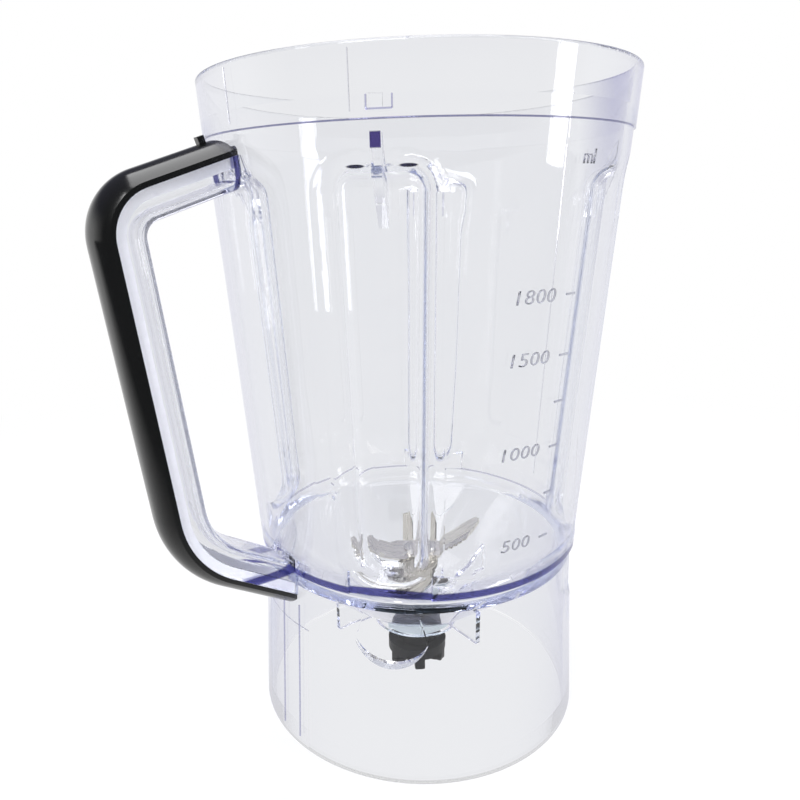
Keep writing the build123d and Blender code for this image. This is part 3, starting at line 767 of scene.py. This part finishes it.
# Studio: pale floor, white surroundings with a dim ceiling, and large soft lamps.
# The floor is white to the camera and keeps a faint shadow near the jar.
# Reflections show a dim room in front, so that the clear walls and the grip have edges to show.
floor_side = 8.0
floor_grey = (0.9, 0.9, 0.9, 1)
floor_matt = 0.9
shadow_share = 0.25
shadow_reach = (0.25, 0.6)
through_white = (0.88, 0.885, 0.9, 1)
room_way = (-0.6, -0.8, 0.0)
room_dim = (0.08, 0.08, 0.09, 1)
floor_dusk = (-0.05, 0.25)
white = (1, 1, 1, 1)
deselect_all()
bpy.ops.mesh.primitive_plane_add(size=floor_side, location=(0, 0, 0))
floor = bpy.context.object
floor.name = "studio_floor"
floor_paint, inside, link, shader = new_finish("floor_paint")
shader.inputs["Base Color"].default_value = floor_grey
shader.inputs["Roughness"].default_value = floor_matt
glow = inside.new("ShaderNodeEmission")
blend = inside.new("ShaderNodeMixShader")
place = inside.new("ShaderNodeTexCoord")
reach = inside.new("ShaderNodeVectorMath")
reach.operation = "LENGTH"
share = inside.new("ShaderNodeMapRange")
share.inputs["From Min"].default_value = shadow_reach[0]
share.inputs["From Max"].default_value = shadow_reach[1]
share.inputs["To Min"].default_value = 1.0 - shadow_share
path = inside.new("ShaderNodeLightPath")
link(place.outputs["Object"], reach.inputs[0])
link(reach.outputs["Value"], share.inputs["Value"])
whitened = all_of(inside, link, share.outputs["Result"], path.outputs["Is Camera Ray"])
bent = reckon(inside, link, "MAXIMUM", path.outputs["Is Transmission Ray"], path.outputs["Is Glossy Ray"])
glow_share = reckon(inside, link, "MAXIMUM", whitened, bent)
in_front = reach_along(inside, link, place.outputs["Object"], room_way)
glowing = blend_colours(inside, link, ramp(inside, link, in_front, floor_dusk), white, room_dim)
glowing = blend_colours(inside, link, path.outputs["Is Transmission Ray"], glowing, through_white)
glowing = blend_colours(inside, link, path.outputs["Is Camera Ray"], glowing, white)
link(glowing, glow.inputs["Color"])
link(glow_share, blend.inputs["Fac"])
link(shader.outputs["BSDF"], blend.inputs[1])
link(glow.outputs["Emission"], blend.inputs[2])
link(blend.outputs["Shader"], inside["Material Output"].inputs["Surface"])
floor.data.materials.append(floor_paint)

ambient_sky = (0.9, 0.93, 1.0, 1)
ambient_level = 0.45
ceiling_band = (0.12, 0.5)
ceiling_dim = (0.12, 0.12, 0.16, 1)
sky_dim = (0.55, 0.55, 0.66, 1)
room_dusk = (0.0, 0.5)
world = bpy.data.worlds.new("studio_world")
bpy.context.scene.world = world
world.use_nodes = True
inside = world.node_tree.nodes
link = world.node_tree.links.new
seen = inside["Background"]
seen.inputs["Strength"].default_value = 1.0
ambient = inside.new("ShaderNodeBackground")
ambient.inputs["Color"].default_value = ambient_sky
ambient.inputs["Strength"].default_value = ambient_level
path = inside.new("ShaderNodeLightPath")
chosen = inside.new("ShaderNodeMixShader")
way = inside.new("ShaderNodeTexCoord")
apart = inside.new("ShaderNodeSeparateXYZ")
link(way.outputs["Generated"], apart.inputs["Vector"])
overhead = ramp(inside, link, apart.outputs["Z"], ceiling_band, "SMOOTHSTEP")
in_front = reach_along(inside, link, way.outputs["Generated"], room_way)
ceiling = blend_colours(inside, link, overhead, white, ceiling_dim)
mirrored = blend_colours(inside, link, ramp(inside, link, in_front, room_dusk), ceiling, room_dim)
looked_through = blend_colours(inside, link, overhead, through_white, sky_dim)
surround = blend_colours(inside, link, path.outputs["Is Transmission Ray"], mirrored, looked_through)
link(blend_colours(inside, link, path.outputs["Is Camera Ray"], surround, white), seen.inputs["Color"])
direct = reckon(inside, link, "MAXIMUM", path.outputs["Is Camera Ray"], path.outputs["Is Glossy Ray"])
direct = reckon(inside, link, "MAXIMUM", direct, path.outputs["Is Transmission Ray"])
link(direct, chosen.inputs["Fac"])
link(ambient.outputs["Background"], chosen.inputs[1])
link(seen.outputs["Background"], chosen.inputs[2])
link(chosen.outputs["Shader"], inside["World Output"].inputs["Surface"])


def add_soft_lamp(name, place, aim, size, power):
    """Large soft lamp at a place, turned to a point."""
    data = bpy.data.lights.new(name, "AREA")
    data.shape = "RECTANGLE"
    data.size, data.size_y = size
    data.energy = power
    lamp = bpy.data.objects.new(name, data)
    bpy.context.scene.collection.objects.link(lamp)
    lamp.location = place
    lamp.rotation_euler = (Vector(aim) - Vector(place)).to_track_quat("-Z", "Y").to_euler()


jar_middle = (0, 0, 0.13)
add_soft_lamp("key_lamp", place=(-1.1, -0.7, 1.3), aim=jar_middle, size=(0.9, 1.2), power=22.0)
add_soft_lamp("fill_lamp", place=(0.9, -1.2, 0.9), aim=jar_middle, size=(0.3, 1.8), power=9.0)
add_soft_lamp("top_lamp", place=(0.1, 0.3, 1.6), aim=jar_middle, size=(1.2, 1.2), power=12.0)

# Camera: the photo's own place and angle, close to the jar, a little below its rim and looking down.
# Its lens and shift give the photo's frame of 800 by 800 pixels.
photo_side = 800.0
photo_focus = 710.0
photo_centre = (367.0, 402.0)
sensor = 36.0
camera_place = (-0.1761, -0.2356, 0.2176)
camera_turn = 32.68
camera_pitch = 15.96
camera_roll = -1.32
near_clip = 0.01
light_bounces = 80
lens_data = bpy.data.cameras.new("photo_camera")
camera = bpy.data.objects.new("photo_camera", lens_data)
bpy.context.scene.collection.objects.link(camera)
lens_data.sensor_width = sensor
lens_data.lens = photo_focus / photo_side * sensor
lens_data.shift_x = 0.5 - photo_centre[0] / photo_side
lens_data.shift_y = photo_centre[1] / photo_side - 0.5
lens_data.clip_start = near_clip
camera.matrix_world = (
    Matrix.Translation(camera_place)
    @ Matrix.Rotation(math.radians(-camera_turn), 4, "Z")
    @ Matrix.Rotation(math.radians(90.0 - camera_pitch), 4, "X")
    @ Matrix.Rotation(math.radians(camera_roll), 4, "Z")
)
bpy.context.scene.camera = camera
bpy.context.scene.view_settings.view_transform = "Standard"
bpy.context.scene.cycles.max_bounces = light_bounces
bpy.context.scene.cycles.glossy_bounces = light_bounces
bpy.context.scene.cycles.transmission_bounces = light_bounces
